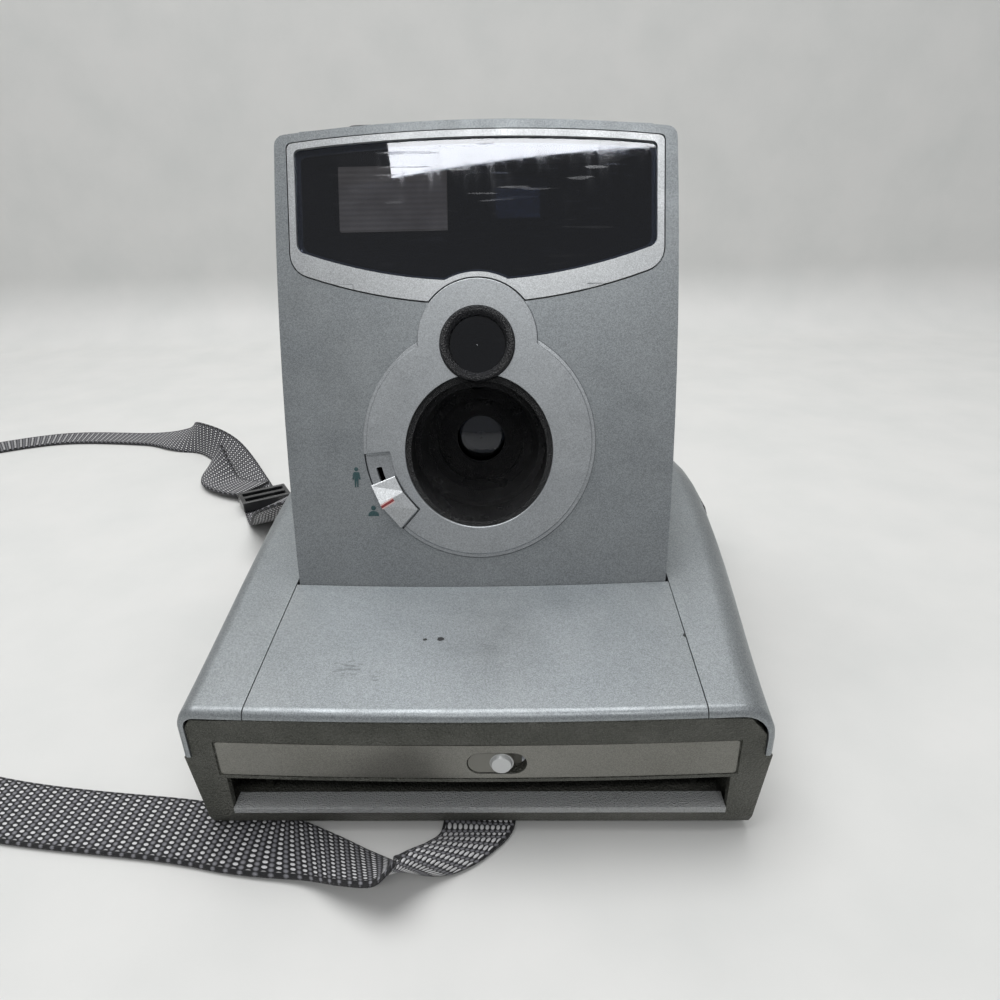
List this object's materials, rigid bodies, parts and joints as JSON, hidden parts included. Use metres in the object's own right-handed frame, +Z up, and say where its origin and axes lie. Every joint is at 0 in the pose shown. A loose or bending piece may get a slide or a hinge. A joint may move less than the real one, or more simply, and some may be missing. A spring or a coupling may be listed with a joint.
{
  "type": "instant camera",
  "caption": "Silver rigid-body instant camera for wide integral film: sloping tower with ringed lens and dark flash window, dark drop-down film door, button, close-up lever and neck strap.",
  "frame": {"origin": "under the middle of the body, without its strap, on the surface the feet stand on", "axes": "+X to the right for someone facing the lens, +Y from the lens towards the back, +Z up; the lens faces -Y"},
  "size_m": [0.4894, 0.3399, 0.1703],
  "materials": {
    "silver_shell": "satin",
    "bright_trim": "satin",
    "dark_moulding": "matt",
    "black_moulding": "matt",
    "soft_black": "matt",
    "clear_optic": "polished",
    "mirror_glass": "polished",
    "bare_steel": "brushed",
    "blackened_sheet": "matt",
    "reflector": "polished",
    "gear_polymer": "matt",
    "contact_brass": "brushed",
    "board": "gloss",
    "capacitor_sleeve": "gloss",
    "webbing": "woven",
    "adjuster": "gloss"
  },
  "bodies": {
    "camera": {"front_panel": "silver_shell", "deck_panel": "silver_shell", "left_side_shell": "silver_shell", "right_side_shell": "silver_shell", "rear_shell": "silver_shell", "base_tray": "dark_moulding", "feet": "soft_black", "lens_ring": "bright_trim", "lens_funnel": "black_moulding", "lens_barrel": "black_moulding", "front_element": "clear_optic", "rear_element": "clear_optic", "sensor_ring": "black_moulding", "sensor_lens": "clear_optic", "shutter_plate": "blackened_sheet", "window_bezel": "bright_trim", "window_pane": "clear_optic", "window_tray": "black_moulding", "flash_lens": "clear_optic", "flash_reflector": "reflector", "flash_tube": "clear_optic", "flash_capacitor": "capacitor_sleeve", "flash_board": "board", "finder_objective": "clear_optic", "finder_tunnel": "black_moulding", "eyepiece_lens": "clear_optic", "eyecup": "soft_black", "button_spring": "bare_steel", "film_bay_frame": "black_moulding", "light_cone": "black_moulding", "taking_mirror": "mirror_glass", "battery_contacts": "contact_brass", "drive_motor": "bare_steel", "hinge_pins": "bare_steel", "strap_bars": "bare_steel", "neck_strap": "webbing", "strap_rear": "webbing", "strap_tail": "webbing", "strap_adjuster": "adjuster"},
    "film_door": {"film_door": "dark_moulding", "exit_guide": "bright_trim", "strap_front": "webbing"},
    "lower_roller": {"lower_roller": "bare_steel", "roller_gear": "gear_polymer"},
    "upper_roller": {"upper_roller": "bare_steel"},
    "latch_slide": {"latch_slide": "bright_trim"},
    "lower_idler": {"lower_idler": "gear_polymer"},
    "upper_idler": {"upper_idler": "gear_polymer"},
    "motor_pinion": {"motor_pinion": "gear_polymer"},
    "closeup_lever": {"closeup_lever": "bright_trim"},
    "closeup_arm": {"closeup_arm": "black_moulding", "closeup_lens": "clear_optic"},
    "upper_blade": {"upper_blade": "blackened_sheet"},
    "lower_blade": {"lower_blade": "blackened_sheet"},
    "shutter_button": {"shutter_button": "black_moulding"},
    "film_pick": {"film_pick": "bare_steel"},
    "counter_dial": {"counter_dial": "gear_polymer"}
  },
  "joints": [
    {"name": "film_door_hinge", "type": "hinge", "parent": "camera", "child": "film_door", "pos_m": [-0.00099, -0.0664, 0.0048], "axis": [1, 0, 0], "range_deg": [0, 80]},
    {"name": "lower_roller_spin", "type": "hinge", "parent": "film_door", "child": "lower_roller", "pos_m": [-0.00099, -0.072, 0.0104], "axis": [1, 0, 0], "continuous": true},
    {"name": "upper_roller_spin", "type": "hinge", "parent": "film_door", "child": "upper_roller", "pos_m": [-0.00099, -0.072, 0.0196], "axis": [1, 0, 0], "continuous": true},
    {"name": "latch_slide_travel", "type": "slide", "parent": "film_door", "child": "latch_slide", "axis": [1, 0, 0], "range_m": [0, 0.003], "stiffness_N_per_m": 150, "springref_m": -0.001},
    {"name": "lower_idler_spin", "type": "hinge", "parent": "camera", "child": "lower_idler", "pos_m": [-0.00099, -0.05876, 0.014], "axis": [1, 0, 0], "continuous": true},
    {"name": "upper_idler_spin", "type": "hinge", "parent": "camera", "child": "upper_idler", "pos_m": [-0.00099, -0.05346, 0.02922], "axis": [1, 0, 0], "continuous": true},
    {"name": "motor_pinion_spin", "type": "hinge", "parent": "camera", "child": "motor_pinion", "pos_m": [-0.00099, -0.04182, 0.03482], "axis": [1, 0, 0], "continuous": true},
    {"name": "closeup_lever_swing", "type": "hinge", "parent": "camera", "child": "closeup_lever", "pos_m": [-0.00099, -0.02396, 0.08441], "axis": [0, 0.9336, -0.3584], "range_deg": [0, 15]},
    {"name": "closeup_arm_swing", "type": "hinge", "parent": "camera", "child": "closeup_arm", "pos_m": [-0.01599, -0.02482, 0.08217], "axis": [0, -0.9945, 0.1045], "range_deg": [0, 80]},
    {"name": "upper_blade_swing", "type": "hinge", "parent": "camera", "child": "upper_blade", "pos_m": [-0.00099, -0.02691, 0.06228], "axis": [0, -0.9945, 0.1045], "range_deg": [0, 25], "stiffness_Nm_per_rad": 0.005, "springref_deg": -5.73},
    {"name": "lower_blade_swing", "type": "hinge", "parent": "camera", "child": "lower_blade", "pos_m": [-0.00099, -0.02691, 0.06228], "axis": [0, -0.9945, 0.1045], "range_deg": [-25, 0]},
    {"name": "shutter_button_press", "type": "slide", "parent": "camera", "child": "shutter_button", "axis": [0, 0, -1], "range_m": [0, 0.0015], "stiffness_N_per_m": 400, "springref_m": -0.001, "deforming": ["button_spring"]},
    {"name": "film_pick_stroke", "type": "slide", "parent": "camera", "child": "film_pick", "axis": [0, -1, 0], "range_m": [0, 0.01], "stiffness_N_per_m": 40, "springref_m": -0.002},
    {"name": "counter_dial_turn", "type": "hinge", "parent": "camera", "child": "counter_dial", "pos_m": [-0.02299, 0.00238, 0.15303], "axis": [0, -0.9336, 0.3584], "range_deg": [0, 320]}
  ],
  "couplings": [
    {"joint": "upper_roller_spin", "follows": "lower_roller_spin", "ratio": -1.25},
    {"joint": "lower_idler_spin", "follows": "lower_roller_spin", "ratio": -0.7},
    {"joint": "upper_idler_spin", "follows": "lower_roller_spin", "ratio": 0.7},
    {"joint": "motor_pinion_spin", "follows": "lower_roller_spin", "ratio": -1.1667},
    {"joint": "closeup_arm_swing", "follows": "closeup_lever_swing", "ratio": 5.3333},
    {"joint": "lower_blade_swing", "follows": "upper_blade_swing", "ratio": -1}
  ]
}
